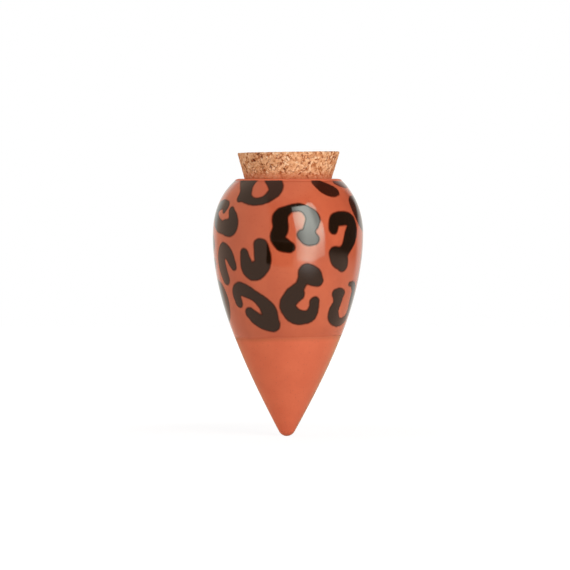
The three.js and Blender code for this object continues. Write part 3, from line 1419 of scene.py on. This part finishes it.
@dataclass(frozen=True)
class Viewpoint:
    """The camera: where it stands, where it aims, and how wide a frame it takes in there."""

    distance: float = 2.0
    eye_height: float = 0.086
    aim_height: float = 0.0285
    aside: float = -0.0017
    frame_width: float = 0.3222
    sensor: float = 36.0

    def place(self) -> None:
        """Makes the camera and gives it to the scene."""
        aim = Vector((self.aside, 0, self.aim_height))
        eye = Vector((self.aside, -self.distance, self.eye_height))
        data = bpy.data.cameras.new("portrait")
        data.sensor_width = self.sensor
        data.lens = self.sensor * (eye - aim).length / self.frame_width
        camera = bpy.data.objects.new("portrait", data)
        camera.location = eye
        camera.rotation_euler = (eye - aim).to_track_quat("Z", "Y").to_euler()
        bpy.context.scene.collection.objects.link(camera)
        bpy.context.scene.camera = camera


@dataclass
class Studio:
    """A plain pale floor, soft lamps, a surround that is white behind the object, and the camera."""

    floor_size: float = 3.0
    floor_colour: Colour = (0.78, 0.72, 0.69, 1.0)
    floor_glow: float = 1.12
    floor_white: Fade = (0.08, 0.25, 0.8, 1.0)
    floor_gloss: Colour = (0.95, 0.64, 0.50, 1.0)
    floor_end: Fade = (0.45, 1.0)
    floor_end_side: Fade = (0.0, 0.2)
    floor_back: Fade = (0.2, 0.6)
    pool: Triple = (0.20, -0.35, 0.0)
    pool_fade: Fade = (0.17, 0.0, 0.0, 1.5)
    flag_colour: Colour = (0.01, 0.01, 0.01, 1.0)
    flag_reach: Pair = (0.345, 1.4)
    flag_turn: Pair = (-32.0, 7.0)
    front: Colour = (0.09, 0.06, 0.05, 1.0)
    left: Colour = (0.90, 0.64, 0.50, 1.0)
    left_fade: Fade = (-0.40, -0.52)
    above: Colour = (0.88, 0.46, 0.35, 1.0)
    above_slope: float = 0.4
    above_fade: Fade = (0.60, 0.85)
    behind: Colour = (1.00, 0.97, 0.90, 1.0)
    behind_fade: Fade = (0.60, 0.80)
    behind_sides: Pair = (0.15, 0.05)
    behind_steep: Pair = (1.1, 0.6)
    behind_upper: Pair = (0.3, 0.5)
    backing: Tree | None = None
    viewpoint: Viewpoint = Viewpoint()
    lamps: tuple[Lamp, ...] = (
        Lamp(
            "key", azimuth=33, distance=0.65, level=0.27, tip=18, width=0.54, height=0.54,
            brightness=4.95, work=Work.LIGHT,
        ),
        Lamp(
            "fill", azimuth=-78, distance=0.80, level=0.10, tip=0, width=0.80, height=0.30,
            brightness=2.15, work=Work.LIGHT,
        ),
        Window(
            "window", azimuth=31.7, distance=0.42, level=0.204, tip=0, width=0.35, height=0.52,
            brightness=8.9, work=Work.GLINT, colour=(0.95, 1.0, 0.92), roll=6.7,
        ),
    )

    def build(self) -> None:
        """Makes the floor, the lamps, the surround and the camera."""
        self.backing = number_group("pale_backing", self._wire_backing)
        self._lay_floor()
        self._lay_flag()
        self._surround()
        for lamp in self.lamps:
            lamp.light()
        self.viewpoint.place()
        bpy.context.scene.view_settings.view_transform = "Standard"

    def _wire_backing(self, wiring: Wiring, entry: Items) -> Socket:
        """Gives 1 in the directions behind the object, lower down on the right, and 0 in the others.

        Args:
            wiring: The group's wiring.
            entry: What goes into the group.

        Returns:
            The number.
        """
        parts = wiring.parts(entry["Place"])
        right, up = parts["X"], parts["Z"]
        aside = wiring.math("MINIMUM", *(wiring.times(right, slope) for slope in self.behind_sides))
        slope, start = self.behind_steep
        steep = wiring.plus(wiring.times(right, slope), start)
        start, slope = self.behind_upper
        upper = wiring.minus(start, wiring.times(up, slope))
        height = wiring.math("MINIMUM", wiring.math("MAXIMUM", up, 0.0), upper)
        back = wiring.minus(wiring.plus(parts["Y"], aside), wiring.times(height, steep))
        return wiring.fade(back, *self.behind_fade)

    def _lay_floor(self) -> None:
        """Lays a pale floor at the object's lowest point, which shows white but for the shadow."""
        bpy.ops.object.select_all(action="DESELECT")
        bpy.ops.mesh.primitive_plane_add(size=self.floor_size, location=(0, 0, cad_box[0].z))
        floor = named("floor")
        material, wiring, surface = new_material("pale_floor")
        wiring.feed(surface, {"Base Color": self.floor_colour, "Roughness": 1.0, "Specular IOR Level": 0.0})
        white = wiring.out("Emission", 0, {"Color": WHITE, "Strength": self.floor_glow})
        away = wiring.out("VectorMath", "Value", {0: wiring.place()}, operation="LENGTH")
        rays = wiring.add("LightPath").outputs
        looked_at = wiring.math("MAXIMUM", rays["Is Camera Ray"], rays["Is Transmission Ray"])
        share = wiring.times(looked_at, wiring.fade(away, *self.floor_white))
        plain = wiring.out("MixShader", 0, {0: share, 1: surface.outputs["BSDF"], 2: white})
        mirrored = wiring.out("Emission", 0, {"Color": self._mirrored_floor(wiring, away)})
        shader = wiring.out("MixShader", 0, {0: rays["Is Glossy Ray"], 1: plain, 2: mirrored})
        wiring.feed(wiring.tree.nodes["Material Output"], {"Surface": shader})
        floor.data.materials.append(material)

    def _mirrored_floor(self, wiring: Wiring, away: Socket) -> Socket:
        """Gives the floor as gloss shows it: warm, white behind, bright under the window, dark far right.

        Args:
            wiring: The floor's wiring.
            away: The distance from the axis.

        Returns:
            The colour.
        """
        place = wiring.place()
        direction = wiring.out("VectorMath", "Vector", {0: place}, operation="NORMALIZE")
        on_right = wiring.fade(wiring.parts(direction)["X"], *self.floor_end_side)
        ended = wiring.times(wiring.fade(away, *self.floor_end), on_right)
        far_back = wiring.times(wiring.group(self.backing, direction), wiring.fade(away, *self.floor_back))
        colour = wiring.mix(ended, self.floor_gloss, self.front)
        colour = wiring.mix(far_back, colour, self.behind)
        from_pool = wiring.out("VectorMath", "Value", {0: place, 1: self.pool}, operation="DISTANCE")
        pool = wiring.fade(from_pool, *self.pool_fade)
        return wiring.out("VectorMath", "Vector", {0: colour, 1: pool}, operation="ADD")

    def _lay_flag(self) -> None:
        """Lays a dark flag on the floor in front, out of sight, to keep the gloss dark there."""
        bpy.ops.object.select_all(action="DESELECT")
        bpy.ops.mesh.primitive_plane_add(size=1.0, location=(0, 0, 0))
        flag = named("flag")
        for corner in flag.data.vertices:
            reach = self.flag_reach[0 if corner.co.y > 0 else 1]
            turn = math.radians(self.flag_turn[1 if corner.co.x > 0 else 0])
            corner.co = (reach * math.tan(turn), -reach, cad_box[0].z + MM)
        material, wiring, surface = new_material("dark_flag")
        wiring.feed(surface, {"Base Color": self.flag_colour, "Specular IOR Level": 0.0})
        flag.data.materials.append(material)
        flag.visible_camera = False

    def _surround(self) -> None:
        """Makes the surround: white to the camera, pale behind, left and above, and dark in front."""
        world = bpy.data.worlds.new("surround")
        bpy.context.scene.world = world
        world.use_nodes = True
        wiring = Wiring(world.node_tree)
        direction = wiring.out("TexCoord", "Generated")
        parts = wiring.parts(direction)
        lower_right = wiring.times(wiring.math("MAXIMUM", parts["X"], 0.0), self.above_slope)
        ceiling = wiring.minus(parts["Z"], lower_right)
        colour = wiring.mix(wiring.fade(ceiling, *self.above_fade), self.front, self.above)
        colour = wiring.mix(wiring.fade(parts["X"], *self.left_fade), colour, self.left)
        colour = wiring.mix(wiring.group(self.backing, direction), colour, self.behind)
        rays = wiring.add("LightPath").outputs
        plain = wiring.out("RGBToBW", "Val", {"Color": colour})
        colour = wiring.mix(rays["Is Glossy Ray"], plain, colour)
        colour = wiring.mix(rays["Is Camera Ray"], colour, WHITE)
        wiring.feed(wiring.tree.nodes["Background"], {"Color": colour})


def main() -> None:
    """Builds the studio and the two pieces, and dresses them."""
    logging.basicConfig(level=logging.INFO, format="%(name)s: %(message)s")
    Studio().build()
    effects = KilnEffects()
    vessel = Vessel()
    vessel.build()
    vessel.dress(BareClay(effects).material(), SpottedGlaze(effects).material())
    LOG.info("%s: %d faces", vessel.piece.name, len(vessel.piece.data.polygons))
    stopper = Stopper()
    stopper.build()
    stopper.dress(BondedCork().material())
    LOG.info("%s: %d faces", stopper.piece.name, len(stopper.piece.data.polygons))


if __name__ == "__main__":
    main()
